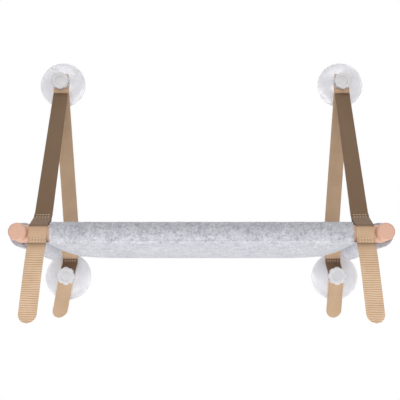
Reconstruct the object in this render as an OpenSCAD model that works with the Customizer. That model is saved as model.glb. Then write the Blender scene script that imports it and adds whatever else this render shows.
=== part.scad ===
// Window perch: a wooden frame in a felt sling, hung from four suction cups by webbing straps.
// The glass is the plane Y = 0 and the perch stands out along -Y. Z = 0 is the height of the frame.

/* [Frame] */
// Distance between the centre lines of the two side rails
rail_spacing = 492; // [420:4:600]
// Distance between the centre lines of the front and rear bars
bar_spacing = 286; // [230:2:340]
// Diameter of the side rails
rail_dia = 24; // [22:1:28]
// Diameter of the front and rear bars
bar_dia = 22; // [20:1:24]
// Distance from the glass to the centre line of the rear bar
stand_off = 20; // [19:1:26]
// How far the rails run on past the front bar's centre line
rail_front_reach = 24; // [20:1:34]
// How far the rails run on past the rear bar's centre line
rail_rear_reach = 14; // [12:1:15]
// Chamfer turned on the ends of the rails
rail_chamfer = 1.6; // [0.5:0.1:2.5]
// Gap between a bar's hollowed end and the rail that it seats on
cope_clearance = 0.1; // [0.05:0.05:0.3]

/* [Frame bolts] */
// Diameter of the connector bolt's shank
bolt_dia = 6; // [5:0.5:7]
// Diameter of the bolt's flat head
bolt_head_dia = 11; // [9:0.5:12]
// Thickness of the bolt's head
bolt_head_height = 3.5; // [2.5:0.5:4]
// Width across the flats of the bolt's hexagon socket
bolt_socket = 4; // [3:0.5:5]
// Depth of the hexagon socket
bolt_socket_depth = 2; // [1:0.5:2.5]
// How far the head is sunk below the rail's outer side
head_sink = 1.5; // [1:0.25:2.5]
// Length of bolt that is screwed into the insert
bolt_engagement = 11; // [8:1:14]
// Outer diameter of the threaded insert in a bar's end
insert_dia = 10; // [9:0.5:12]
// Length of the threaded insert
insert_length = 15; // [12:1:20]
// Gap round the bolt in its hole through the rail
bolt_clearance = 0.3; // [0.1:0.05:0.5]
// Gap between the bolt and the insert's bore
thread_clearance = 0.05; // [0.02:0.01:0.1]

/* [Felt sling] */
// Thickness of the felt
felt_thickness = 4; // [3:0.5:5]
// Gap between the end of a sleeve and the strap beside it
sleeve_end_gap = 3; // [1:0.5:10]
// Gap between a bar and the felt sleeve round it
sleeve_clearance = 0.3; // [0.2:0.1:0.6]
// Slack of the side tubes round the rails
tube_slack = 1.4; // [0.6:0.1:2]
// Distance from the front bar to the front end of a side tube, outer side
tube_front_inset = 11; // [8:1:24]
// Distance from the rear bar to the rear end of a side tube, outer side
tube_rear_inset = 16; // [12:1:30]
// How much further in a side tube's ends are cut on their inner side
tube_end_slant = 23; // [16:1:34]
// Height of the belly's underside below the frame's centre plane
belly_depth = 24.5; // [18:0.5:45]
// Height of the sling's underside below the centre plane where it meets the front seam
seam_depth = 11.6; // [9:0.2:13]
// How far past a bar's centre line the sling reaches before it is sewn to the sleeve
seam_reach = 10; // [6:0.5:11]
// Height of the sling's underside below the centre plane at the side tubes
side_depth = 1.5; // [0:0.5:6]
// Distance over which the sling's corner cut-outs run out to the side tubes
corner_run = 22; // [16:1:30]
// Distance from a bar's centre line to the start of a corner cut-out
corner_start = 22; // [18:1:30]

/* [Straps] */
// Width of the webbing
strap_width = 25; // [20:1:28]
// Thickness of the webbing
strap_thickness = 1.5; // [1.2:0.1:2]
// Gap between a strap's edge and the rail beside it
strap_side_gap = 1; // [0.5:0.25:4]
// Gap between the webbing and a bar in its loop
strap_clearance = 0.3; // [0.2:0.1:0.5]
// Gap between two layers of webbing, or webbing and what clamps it
layer_gap = 0.1; // [0.05:0.05:0.2]
// Length of the sewn tab at each end of a loop piece
tab_length = 9; // [7:0.5:12]
// Distance from the front bar's surface to the seam above it
front_loop_reach = 22; // [16:1:34]
// Distance from the front bar's surface to the seam below it
front_tail_reach = 3; // [2.5:0.25:8]
// Distance from the rear bar's surface to the seam above it
rear_loop_reach = 21; // [16:1:34]
// Distance from the rear bar's surface to the seam below it
rear_tail_reach = 5.5; // [3:0.25:8]
// Length of strap above the stud that holds it
strap_end_length = 14; // [10:1:20]
// Length of the front strap that lies flat below its knob
front_flat_length = 4; // [4:0.5:16]
// How far the front tails hang below the frame's centre plane
front_tail_drop = 121; // [80:1:160]
// How far the front tails hang out in front of the front bar's axis
front_tail_stand = 22; // [16:1:40]
// How far the front tails lean outwards
front_tail_lean = 10; // [0:1:20]
// How far the rear tails hang below the frame's centre plane
rear_tail_drop = 117; // [95:1:150]
// How far the left rear tail leans outwards from its stud, or inwards below zero
left_rear_tail_lean = 11; // [-12:1:12]
// How far the right rear tail leans outwards from its stud, or inwards below zero
right_rear_tail_lean = -7; // [-12:1:12]
// Diameter of the holes that the studs pass through
strap_hole_dia = 6.6; // [6.4:0.1:8]

/* [Suction cups] */
// Outer diameter of a suction cup
cup_dia = 78; // [60:1:90]
// Height of the cup's dome where it meets the neck
dome_height = 10; // [8:0.5:14]
// Thickness of the cup's wall near the neck
cup_wall = 3; // [2:0.25:4]
// Thickness of the cup's lip
lip_thickness = 1.2; // [0.8:0.1:2]
// Width of the flat ring that seals on the glass
seal_width = 6; // [4:0.5:8]
// Diameter of the cup's neck
neck_dia = 22; // [18:1:26]
// Distance from the glass to the neck's flat end
neck_height = 21; // [18:0.5:26]
// Distance between the centres of the upper cups
upper_cup_spacing = 483; // [420:1:560]
// Height of the upper cups above the frame
upper_cup_height = 284.5; // [240:0.5:340]
// Distance between the centres of the lower cups
lower_cup_spacing = 452; // [420:1:520]
// Depth of the lower cups below the frame
lower_cup_drop = 48; // [44:0.5:64]

/* [Knobs and studs] */
// Diameter of the threaded stud
stud_dia = 6; // [5:0.5:8]
// Length of stud past the neck's flat end
stud_reach = 10; // [8:0.5:13]
// Diameter of the stud's flange inside the neck
flange_dia = 15; // [12:0.5:16]
// Thickness of the stud's flange
flange_thickness = 2; // [1.5:0.25:3]
// Distance from the neck's flat end back to the flange
flange_depth = 8; // [6:0.5:9]
// Gap round the stud inside the neck
stud_clearance = 0.05; // [0.02:0.01:0.1]
// Diameter of the knob across its lobes
knob_dia = 30; // [24:1:36]
// Thickness of the knob
knob_thickness = 10; // [8:0.5:14]
// Number of lobes round the knob
knob_lobes = 8; // [6:1:12]
// Radius of the hollows between the lobes
lobe_hollow = 3.4; // [2:0.2:5]
// Edge rounding of the knob's front
knob_round = 2; // [1:0.25:3]
// Diameter of the round recess in the knob's face
recess_dia = 18; // [12:0.5:20]
// Depth of that recess
recess_depth = 1.5; // [0.5:0.25:2.5]
// Height of the low dome inside the recess
crown_height = 1.1; // [0.5:0.1:2]

/* [Hidden] */

// One overrun for all cuts
cut = 1;
round_fn = 72;
small_fn = 48;

// Frame places
rail_x = rail_spacing / 2;
rear_bar_y = -stand_off;
front_bar_y = rear_bar_y - bar_spacing;
rail_front_y = front_bar_y - rail_front_reach;
rail_rear_y = rear_bar_y + rail_rear_reach;
rail_inner_x = rail_x - rail_dia / 2;
strap_x = rail_inner_x - strap_side_gap - strap_width / 2;
sleeve_half_width = strap_x - strap_width / 2 - sleeve_end_gap;
// The end of an insert lies this far inside the bar's hollowed end
insert_sink = 1.5;
insert_bore_extra = 1;

// Cup and stud places, as [X, Z] on the right-hand side
upper_cup = [upper_cup_spacing / 2, upper_cup_height];
lower_cup = [lower_cup_spacing / 2, -lower_cup_drop];
recess_corner = 0.5;

// Layers clamped between the neck and the knob, measured out from the glass
rear_layer = neck_height + layer_gap + strap_thickness / 2;
front_layer = rear_layer + strap_thickness + layer_gap;
upper_knob_seat = front_layer + strap_thickness / 2 + layer_gap;
lower_knob_seat = rear_layer + strap_thickness / 2 + layer_gap;

// Webbing: centre lines of its plies round a bar
ply_radius = bar_dia / 2 + strap_clearance + strap_thickness / 2;
ply_offset = (strap_thickness + layer_gap) / 2;
ARC_STEPS = 12;
BEND_STEPS = 5;
TAIL_STEPS = 12;
END_STEPS = 6;
// The direction of the seam below a bar and of the tab sewn there, in degrees from +Y towards +Z
front_seam_angle = 215;
front_tab_angle = 240;
rear_seam_angle = 270;
// How far the bends below the upper knobs and at the seams run each way from their corners
knob_bend = 3.5;
seam_bend = 3;
tail_hang_share = 0.55;
tail_start_share = 0.16;
rear_tail_swing = 3;
end_corner_share = 0.985;

// Points and directions in the plane of the straps, as [Y, Z]
function dir(angle) = [cos(angle), sin(angle)];
function unit(v) = v / norm(v);
function lerp(a, b, t) = a + (b - a) * t;
function bezier(p, t) =
    len(p) == 1 ? p[0] : bezier([for (i = [0:len(p) - 2]) lerp(p[i], p[i + 1], t)], t);
function later_steps(count) = [for (i = [1:count]) i / count];
function steps(count) = concat([0], later_steps(count));

// Direction of a point from the bar's axis, and the angle from there to where its ply reaches the bar
function heading(point) = (atan2(point[1], point[0]) + 360) % 360;
function touch_angle(point) = acos(ply_radius / norm(point));

// A bend of a given size at a corner of a route
function bend(before, corner, after, size) =
    [for (t = steps(BEND_STEPS))
        bezier([
            corner + size * unit(before - corner),
            corner,
            corner + size * unit(after - corner)
        ], t)];

// One ply from tab to tab round a bar: side +1 passes in front of the bar, side -1 behind it.
// The tabs lie side by side: the upper one points along up, the lower one along tab.
function ply_path(centre, up, down, tab, up_reach, down_reach, side) =
    let (
        top = (bar_dia / 2 + up_reach) * dir(up) + side * ply_offset * dir(up + 90),
        foot = (bar_dia / 2 + down_reach) * dir(down) - side * ply_offset * dir(tab + 90),
        top_end = top + tab_length * dir(up),
        foot_end = foot + tab_length * dir(tab),
        first = heading(top) + side * touch_angle(top),
        last = heading(foot) - (side > 0 ? 0 : 360) - side * touch_angle(foot)
    )
    [for (p = concat(
        [top_end],
        bend(top_end, top, ply_radius * dir(first), seam_bend),
        [for (t = steps(ARC_STEPS)) ply_radius * dir(lerp(first, last, t))],
        bend(ply_radius * dir(last), foot, foot_end, seam_bend),
        [foot_end]
    )) centre + p];

// Where the front strap turns from its stud towards the bar, and its direction there
front_centre = [front_bar_y, 0];
rear_centre = [rear_bar_y, 0];
front_turn = [-front_layer, upper_cup_height - knob_dia / 2 - front_flat_length];
front_up = atan2(front_turn[1], front_turn[0] - front_bar_y);
function front_ply(side) =
    ply_path(
        front_centre, front_up, front_seam_angle, front_tab_angle,
        front_loop_reach, front_tail_reach, side
    );
front_main_ply = front_ply(-1);
front_loop_route = front_ply(1);
front_tail_foot = [front_bar_y - front_tail_stand, -front_tail_drop];
front_tab_foot = last_of(front_main_ply);
front_tail_length = front_tab_foot[1] - front_tail_foot[1];

rear_turn = [-rear_layer, upper_cup_height - neck_dia / 2];
rear_up = atan2(rear_turn[1], rear_turn[0] - rear_bar_y);
function rear_ply(side) =
    ply_path(
        rear_centre, rear_up, rear_seam_angle, rear_seam_angle,
        rear_loop_reach, rear_tail_reach, side
    );
rear_main_ply = rear_ply(-1);
rear_loop_route = rear_ply(1);

function last_of(list) = list[len(list) - 1];

front_strap_route = concat(
    [[-front_layer, upper_cup_height + strap_end_length]],
    bend(front_turn + [0, front_flat_length], front_turn, front_centre, knob_bend),
    front_main_ply,
    [for (t = later_steps(TAIL_STEPS))
        bezier([
            front_tab_foot,
            front_tab_foot + tail_start_share * front_tail_length * dir(front_tab_angle),
            front_tail_foot + [0, tail_hang_share * front_tail_length],
            front_tail_foot
        ], t)]
);

rear_tail_foot = [-rear_layer - rear_tail_swing, -rear_tail_drop];
lower_flat_top = [-rear_layer, -lower_cup_drop + neck_dia / 2];
lower_flat_foot = [-rear_layer, -lower_cup_drop - neck_dia / 2];
rear_strap_route = concat(
    [[-rear_layer, upper_cup_height + strap_end_length]],
    [[-rear_layer, upper_cup_height]],
    [rear_turn],
    rear_main_ply,
    [lower_flat_top],
    [[-rear_layer, -lower_cup_drop]],
    [for (t = steps(TAIL_STEPS))
        bezier([
            lower_flat_foot,
            lerp(lower_flat_foot, [lower_flat_foot[0], rear_tail_foot[1]], 1 / 2),
            rear_tail_foot
        ], t)]
);

// The straps lean sideways above and below their loops: X at a height, up to the end of a lean
function lean(z, from_z, to_z, from_x, to_x) =
    lerp(from_x, to_x, min(1, max(0, (z - from_z) / (to_z - from_z))));
front_tail_x = strap_x + front_tail_lean;
function front_lean(z) =
    z > 0
        ? lean(z, front_main_ply[0][1], front_turn[1], strap_x, upper_cup[0])
        : lean(z, front_tab_foot[1], -front_tail_drop, strap_x, front_tail_x);
function rear_tail_x(side) =
    lower_cup[0] + (side < 0 ? left_rear_tail_lean : right_rear_tail_lean);
function rear_lean(z, side) =
    z > 0
        ? lean(z, rear_main_ply[0][1], upper_cup_height, strap_x, upper_cup[0])
        : z > -lower_cup_drop
            ? lean(z, last_of(rear_main_ply)[1], -lower_cup_drop, strap_x, lower_cup[0])
            : lean(z, -lower_cup_drop, -rear_tail_drop, lower_cup[0], rear_tail_x(side));

// A ribbon of webbing along a route of [X, Y, Z] points, with a width for each point.
// Its weft lies level, so that leaning plies stay parallel round their bends.
function tangent(p, i) =
    let (last = len(p) - 1)
    i == 0 ? unit(p[1] - p[0])
        : i == last ? unit(p[last] - p[last - 1])
        : unit(unit(p[i] - p[i - 1]) + unit(p[i + 1] - p[i]));
function ribbon_ring(p, t, w) =
    let (
        side = [w / 2 / sqrt(1 - t[0] * t[0]), 0, 0],
        face = unit([0, t[2], -t[1]]) * strap_thickness / 2
    )
    [p + side + face, p - side + face, p - side - face, p + side - face];

module ribbon(route, widths) {
    last = len(route) - 1;
    points = [for (i = [0:last]) each ribbon_ring(route[i], tangent(route, i), widths[i])];
    faces = concat(
        [[0, 1, 2], [0, 2, 3]],
        [for (i = [0:last - 1]) for (k = [0:3])
            let (a = 4 * i + k, b = 4 * i + (k + 1) % 4)
            each [[a, a + 4, b + 4], [a, b + 4, b]]],
        [[4 * last + 2, 4 * last + 1, 4 * last], [4 * last + 3, 4 * last + 2, 4 * last]]
    );
    polyhedron(points, faces, convexity = 8);
}

// Adds a round end to a route: the last stretch is replaced by points at which the width narrows
function end_angles() = [for (t = steps(END_STEPS)) lerp(0, acos(1 - end_corner_share), t)];
function round_end(route) =
    let (
        foot = last_of(route),
        way = unit(foot - route[len(route) - 2]),
        start = foot - way * strap_width / 2
    )
    [for (a = end_angles()) start + way * sin(a) * strap_width / 2];
function round_widths() = [for (a = end_angles()) strap_width * cos(a)];

function with_x(route, lean) = [for (p = route) [lean(p[1]), p[0], p[1]]];
function until_end(route) =
    [for (p = route) if (norm(p - last_of(route)) > strap_width / 2 + strap_thickness) p];
function plain_widths(route) = [for (p = route) strap_width];

module tailed_strap(flat_route, lean) {
    route = with_x(flat_route, lean);
    body_route = until_end(route);
    ribbon(
        concat(body_route, round_end(route)),
        concat(plain_widths(body_route), round_widths())
    );
}

// Copies a right-hand piece to the side asked for: +1 right, -1 left
module on_side(side) {
    if (side > 0) children();
    else mirror([1, 0, 0]) children();
}

// Stands a piece turned about +Z out from the glass at a cup's place
module at_cup(cup) {
    translate([cup[0], 0, cup[1]]) rotate([90, 0, 0]) children();
}

// Wooden frame

module rail_blank() {
    length = rail_rear_y - rail_front_y;
    rotate_extrude($fn = round_fn)
        polygon([
            [0, 0],
            [rail_dia / 2 - rail_chamfer, 0],
            [rail_dia / 2, rail_chamfer],
            [rail_dia / 2, length - rail_chamfer],
            [rail_dia / 2 - rail_chamfer, length],
            [0, length]
        ]);
}

module bolt_hole() {
    head_seat_x = rail_x + rail_dia / 2 - head_sink - bolt_head_height;
    translate([rail_inner_x - cut, 0, 0]) rotate([0, 90, 0])
        cylinder(d = bolt_dia + 2 * bolt_clearance, h = rail_dia + 2 * cut, $fn = small_fn);
    translate([head_seat_x, 0, 0]) rotate([0, 90, 0])
        cylinder(
            d = bolt_head_dia + 2 * bolt_clearance,
            h = bolt_head_height + head_sink + cut,
            $fn = small_fn
        );
}

module rail(side) {
    color("burlywood") on_side(side) difference() {
        translate([rail_x, rail_rear_y, 0]) rotate([90, 0, 0]) rail_blank();
        for (y = [front_bar_y, rear_bar_y]) translate([0, y, 0]) bolt_hole();
    }
}

module bar(y) {
    reach = rail_x;
    insert_seat = rail_inner_x - insert_sink - insert_length;
    color("burlywood") difference() {
        translate([-reach, y, 0]) rotate([0, 90, 0])
            cylinder(d = bar_dia, h = 2 * reach, $fn = round_fn);
        for (side = [-1, 1]) on_side(side) {
            translate([rail_x, y + rail_dia, 0]) rotate([90, 0, 0])
                cylinder(d = rail_dia + 2 * cope_clearance, h = 2 * rail_dia, $fn = round_fn);
            translate([insert_seat, y, 0]) rotate([0, 90, 0])
                cylinder(d = insert_dia + 2 * thread_clearance, h = rail_dia, $fn = small_fn);
            translate([insert_seat - insert_bore_extra, y, 0]) rotate([0, 90, 0])
                cylinder(d = bolt_dia, h = rail_dia, $fn = small_fn);
        }
    }
}

module frame_bolt() {
    head_seat_x = rail_x + rail_dia / 2 - head_sink - bolt_head_height;
    shank_tip_x = rail_inner_x - insert_sink - bolt_engagement;
    difference() {
        union() {
            translate([shank_tip_x, 0, 0]) rotate([0, 90, 0])
                cylinder(d = bolt_dia, h = head_seat_x - shank_tip_x, $fn = small_fn);
            translate([head_seat_x, 0, 0]) rotate([0, 90, 0])
                cylinder(d = bolt_head_dia, h = bolt_head_height, $fn = small_fn);
        }
        translate([head_seat_x + bolt_head_height - bolt_socket_depth, 0, 0]) rotate([0, 90, 0])
            cylinder(d = bolt_socket / cos(30), h = bolt_socket_depth + cut, $fn = 6);
    }
}

module frame_bolts() {
    color("silver")
        for (side = [-1, 1], y = [front_bar_y, rear_bar_y])
            on_side(side) translate([0, y, 0]) frame_bolt();
}

module bar_insert() {
    translate([rail_inner_x - insert_sink - insert_length, 0, 0]) rotate([0, 90, 0])
        difference() {
            cylinder(d = insert_dia, h = insert_length, $fn = small_fn);
            translate([0, 0, -cut])
                cylinder(
                    d = bolt_dia + 2 * thread_clearance,
                    h = insert_length + 2 * cut,
                    $fn = small_fn
                );
        }
}

module bar_inserts() {
    color("goldenrod")
        for (side = [-1, 1], y = [front_bar_y, rear_bar_y])
            on_side(side) translate([0, y, 0]) bar_insert();
}

// Felt sling

sleeve_bore = bar_dia / 2 + sleeve_clearance;
sleeve_radius = sleeve_bore + felt_thickness;
tube_bore = rail_dia / 2 + tube_slack;
tube_radius = tube_bore + felt_thickness;
// The tubes hang from the rails, so the slack is all below
tube_z = -(tube_slack - sleeve_clearance);
panel_half_width = rail_x - tube_bore - felt_thickness / 2;
panel_half_depth = bar_spacing / 2 + seam_reach;
panel_mid_y = (front_bar_y + rear_bar_y) / 2;
PANEL_COLUMNS = 28;
PANEL_ROWS = 18;
// How late the belly rises towards the side tubes
belly_power = 9;

// Underside of the belly: a sag from front to rear, drawn up at the side tubes
function belly_z(x, v) =
    let (
        middle = -belly_depth + (belly_depth - seam_depth) * v * v,
        w = abs(x) / panel_half_width
    )
    middle + (-side_depth - middle) * pow(w, belly_power);

// Half width of the panel in a row, narrower at the corner cut-outs
function smooth(t) = let (s = min(1, max(0, t))) s * s * (3 - 2 * s);
function panel_reach(v) =
    let (from_bar = bar_spacing / 2 - abs(v) * panel_half_depth - corner_start)
    lerp(sleeve_half_width, panel_half_width, smooth(from_bar / corner_run));

function panel_vs() =
    [for (t = steps(PANEL_ROWS)) sin(lerp(-90, 90, t))];
function panel_point(v, u, lift) =
    let (x = u * panel_reach(v))
    [x, panel_mid_y + v * panel_half_depth, belly_z(x, v) + lift];
function panel_us() = [for (t = steps(PANEL_COLUMNS)) sin(lerp(-90, 90, t))];

module panel() {
    nx = PANEL_COLUMNS + 1;
    ny = PANEL_ROWS + 1;
    layer = nx * ny;
    points = [for (lift = [0, felt_thickness]) for (v = panel_vs()) for (u = panel_us())
        panel_point(v, u, lift)];
    function at(i, j, k) = k * layer + j * nx + i;
    bottom = [for (j = [0:ny - 2]) for (i = [0:nx - 2])
        each [
            [at(i, j, 0), at(i + 1, j, 0), at(i + 1, j + 1, 0)],
            [at(i, j, 0), at(i + 1, j + 1, 0), at(i, j + 1, 0)]
        ]];
    top = [for (j = [0:ny - 2]) for (i = [0:nx - 2])
        each [
            [at(i, j, 1), at(i + 1, j + 1, 1), at(i + 1, j, 1)],
            [at(i, j, 1), at(i, j + 1, 1), at(i + 1, j + 1, 1)]
        ]];
    front_rear = [for (i = [0:nx - 2])
        each [
            [at(i, 0, 0), at(i, 0, 1), at(i + 1, 0, 1)],
            [at(i, 0, 0), at(i + 1, 0, 1), at(i + 1, 0, 0)],
            [at(i, ny - 1, 0), at(i + 1, ny - 1, 1), at(i, ny - 1, 1)],
            [at(i, ny - 1, 0), at(i + 1, ny - 1, 0), at(i + 1, ny - 1, 1)]
        ]];
    sides = [for (j = [0:ny - 2])
        each [
            [at(0, j, 0), at(0, j + 1, 1), at(0, j, 1)],
            [at(0, j, 0), at(0, j + 1, 0), at(0, j + 1, 1)],
            [at(nx - 1, j, 0), at(nx - 1, j, 1), at(nx - 1, j + 1, 1)],
            [at(nx - 1, j, 0), at(nx - 1, j + 1, 1), at(nx - 1, j + 1, 0)]
        ]];
    polyhedron(points, concat(bottom, top, front_rear, sides), convexity = 6);
}

// Cuts a side tube's end on a slant, further in on the tube's inner side
module tube_end_cut(y, way) {
    slant = atan(tube_end_slant / (2 * tube_radius));
    translate([rail_x + tube_radius, y, 0]) rotate([0, 0, way * slant])
        translate([-4 * tube_radius, way > 0 ? 0 : -4 * tube_radius, -2 * tube_radius])
            cube([8 * tube_radius, 4 * tube_radius, 4 * tube_radius]);
}

module side_tube() {
    front_y = front_bar_y + tube_front_inset;
    rear_y = rear_bar_y - tube_rear_inset;
    difference() {
        translate([rail_x, rear_y, tube_z]) rotate([90, 0, 0])
            cylinder(r = tube_radius, h = rear_y - front_y, $fn = round_fn);
        tube_end_cut(rear_y, 1);
        tube_end_cut(front_y, -1);
    }
}

module felt_sling() {
    color("lightgray") difference() {
        union() {
            for (y = [front_bar_y, rear_bar_y])
                translate([-sleeve_half_width, y, 0]) rotate([0, 90, 0])
                    cylinder(r = sleeve_radius, h = 2 * sleeve_half_width, $fn = round_fn);
            for (side = [-1, 1]) on_side(side) side_tube();
            panel();
        }
        for (y = [front_bar_y, rear_bar_y])
            translate([-rail_x, y, 0]) rotate([0, 90, 0])
                cylinder(r = sleeve_bore, h = rail_spacing, $fn = round_fn);
        for (side = [-1, 1]) on_side(side)
            translate([rail_x, rail_rear_y, tube_z]) rotate([90, 0, 0])
                cylinder(r = tube_bore, h = rail_rear_y - rail_front_y, $fn = round_fn);
    }
}

// Webbing

module stud_hole(cup) {
    translate([cup[0], -front_layer - strap_thickness - cut, cup[1]]) rotate([-90, 0, 0])
        cylinder(
            d = strap_hole_dia,
            h = front_layer - rear_layer + 2 * strap_thickness + 2 * cut,
            $fn = small_fn
        );
}

module front_strap(side) {
    color("tan") on_side(side) difference() {
        tailed_strap(front_strap_route, function (z) front_lean(z));
        stud_hole(upper_cup);
    }
}

module rear_strap(side) {
    color("tan") on_side(side) difference() {
        tailed_strap(rear_strap_route, function (z) rear_lean(z, side));
        stud_hole(upper_cup);
        stud_hole(lower_cup);
    }
}

module loop_piece(flat_route, lean, side) {
    route = with_x(flat_route, lean);
    color("tan") on_side(side) ribbon(route, plain_widths(route));
}

module front_loop(side) {
    loop_piece(front_loop_route, function (z) front_lean(z), side);
}

module rear_loop(side) {
    loop_piece(rear_loop_route, function (z) rear_lean(z, side), side);
}

// Suction cups

cup_radius = cup_dia / 2;
neck_radius = neck_dia / 2;
DOME_STEPS = 10;
hollow_height = dome_height - cup_wall;

// Height of a dome that falls from its crown to the lip as part of a cosine wave
function dome(r, inner_r, outer_r, crown, foot) =
    foot + (crown - foot) * (1 + cos(180 * (r - inner_r) / (outer_r - inner_r))) / 2;

module cup_blank() {
    seal_r = cup_radius - seal_width;
    rotate_extrude($fn = round_fn)
        polygon(concat(
            [[cup_radius, 0], [cup_radius, lip_thickness]],
            [for (t = steps(DOME_STEPS))
                let (r = lerp(cup_radius - lip_thickness, neck_radius, t))
                [r, dome(r, neck_radius, cup_radius, dome_height, lip_thickness)]],
            [[neck_radius, neck_height], [0, neck_height], [0, hollow_height]],
            [for (t = steps(DOME_STEPS))
                let (r = lerp(neck_radius, seal_r, t))
                [r, dome(r, neck_radius, seal_r, hollow_height, 0)]]
        ));
}

module cup(place, side) {
    color("lightcyan") on_side(side) at_cup(place) difference() {
        cup_blank();
        translate([0, 0, neck_height - flange_depth - flange_thickness])
            cylinder(d = flange_dia + 2 * stud_clearance, h = flange_thickness, $fn = small_fn);
        translate([0, 0, neck_height - flange_depth - flange_thickness / 2])
            cylinder(
                d = stud_dia + 2 * stud_clearance,
                h = flange_depth + flange_thickness + cut,
                $fn = small_fn
            );
    }
}

module stud(place, side) {
    color("whitesmoke") on_side(side) at_cup(place) {
        translate([0, 0, neck_height - flange_depth - flange_thickness])
            cylinder(d = flange_dia, h = flange_thickness, $fn = small_fn);
        translate([0, 0, neck_height - flange_depth - flange_thickness])
            cylinder(
                d = stud_dia,
                h = flange_thickness + flange_depth + stud_reach,
                $fn = small_fn
            );
    }
}

// Scalloped cap nut, its back at Z = 0 and its face towards +Z
module knob_body() {
    hollow_pitch = knob_dia / 2 + lobe_hollow / 2;
    intersection() {
        linear_extrude(height = knob_thickness) difference() {
            circle(d = knob_dia, $fn = round_fn);
            for (i = [0:knob_lobes - 1]) rotate(360 * (i + 1 / 2) / knob_lobes)
                translate([hollow_pitch, 0]) circle(r = lobe_hollow, $fn = small_fn);
        }
        rotate_extrude($fn = round_fn)
            polygon(concat(
                [[0, 0], [knob_dia / 2 - knob_round / 2, 0], [knob_dia / 2, knob_round / 2]],
                [for (t = steps(BEND_STEPS))
                    [
                        knob_dia / 2 - knob_round * (1 - cos(90 * t)),
                        knob_thickness - knob_round * (1 - sin(90 * t))
                    ]],
                [[0, knob_thickness]]
            ));
    }
}

module knob_recess() {
    crown_fall = recess_depth - crown_height;
    rotate_extrude($fn = round_fn)
        polygon(concat(
            [[0, crown_height - recess_depth]],
            [for (t = steps(BEND_STEPS))
                [
                    recess_dia / 2 * (t * (1 - recess_corner / recess_dia)),
                    -recess_depth + crown_height * cos(90 * t)
                ]],
            [[recess_dia / 2, -recess_depth + recess_corner], [recess_dia / 2, cut], [0, cut]]
        ));
}

module knob(place, seat, side) {
    // The blind bore takes the stud with room for it to tighten
    bore_depth = neck_height + stud_reach - seat + knob_round / 2;
    color("whitesmoke") on_side(side) at_cup(place) translate([0, 0, seat]) difference() {
        knob_body();
        translate([0, 0, knob_thickness]) knob_recess();
        translate([0, 0, -cut])
            cylinder(d = stud_dia + 2 * thread_clearance, h = bore_depth + cut, $fn = small_fn);
    }
}

rail(-1);  // rail_left
rail(1);  // rail_right
bar(front_bar_y);  // front_bar
bar(rear_bar_y);  // rear_bar
frame_bolts();
bar_inserts();
felt_sling();
front_strap(-1);  // front_strap_left
front_strap(1);  // front_strap_right
front_loop(-1);  // front_loop_left
front_loop(1);  // front_loop_right
rear_strap(-1);  // rear_strap_left
rear_strap(1);  // rear_strap_right
rear_loop(-1);  // rear_loop_left
rear_loop(1);  // rear_loop_right
cup(upper_cup, -1);  // cup_upper_left
cup(upper_cup, 1);  // cup_upper_right
cup(lower_cup, -1);  // cup_lower_left
cup(lower_cup, 1);  // cup_lower_right
stud(upper_cup, -1);  // stud_upper_left
stud(upper_cup, 1);  // stud_upper_right
stud(lower_cup, -1);  // stud_lower_left
stud(lower_cup, 1);  // stud_lower_right
knob(upper_cup, upper_knob_seat, -1);  // knob_upper_left
knob(upper_cup, upper_knob_seat, 1);  // knob_upper_right
knob(lower_cup, lower_knob_seat, -1);  // knob_lower_left
knob(lower_cup, lower_knob_seat, 1);  // knob_lower_right
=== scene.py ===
"""Looks for a window perch: a felt sling on a dowel frame, ribbed webbing straps and suction cups."""
import math
from bisect import bisect_right

import bmesh
import bpy
from bpy.props import FloatProperty, FloatVectorProperty, PointerProperty
from bpy.types import Operator, Panel, PropertyGroup
from mathutils import Matrix, Vector, noise


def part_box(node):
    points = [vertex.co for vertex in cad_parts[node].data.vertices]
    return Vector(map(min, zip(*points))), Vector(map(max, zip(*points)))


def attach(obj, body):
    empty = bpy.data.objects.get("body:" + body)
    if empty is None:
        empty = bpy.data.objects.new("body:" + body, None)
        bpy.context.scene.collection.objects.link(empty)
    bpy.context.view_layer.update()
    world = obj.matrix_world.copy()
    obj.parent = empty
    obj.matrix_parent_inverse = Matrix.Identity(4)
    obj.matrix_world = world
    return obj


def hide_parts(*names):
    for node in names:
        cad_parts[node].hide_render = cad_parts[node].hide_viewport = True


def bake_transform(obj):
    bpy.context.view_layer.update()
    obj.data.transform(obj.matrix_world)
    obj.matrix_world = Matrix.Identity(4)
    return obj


bl_info = {
    "name": "Window perch",
    "version": (1, 0, 0),
    "blender": (4, 5, 0),
    "location": "View3D > Sidebar > Perch",
    "description": "Dresses the frame of a window cat perch in felt, webbing, beech and soft plastic",
    "category": "Object",
}

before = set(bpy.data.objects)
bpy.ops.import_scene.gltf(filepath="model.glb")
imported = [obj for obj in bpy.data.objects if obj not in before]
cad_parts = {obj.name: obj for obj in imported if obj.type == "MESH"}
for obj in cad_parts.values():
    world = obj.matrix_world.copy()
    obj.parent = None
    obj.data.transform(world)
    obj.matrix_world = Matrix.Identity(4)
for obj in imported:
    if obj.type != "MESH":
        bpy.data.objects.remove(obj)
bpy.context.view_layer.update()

# A millimetre in metres, for the lengths below
MM = 0.001
RIGHT, LEFT = 1, -1
SIDES = {"left": LEFT, "right": RIGHT}
LEVELS = ("upper", "lower")


def middle(node):
    """The centre of a node's box."""
    low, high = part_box(node)
    return (low + high) / 2


def reach(node):
    """Half of each side of a node's box."""
    low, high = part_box(node)
    return (high - low) / 2


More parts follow.
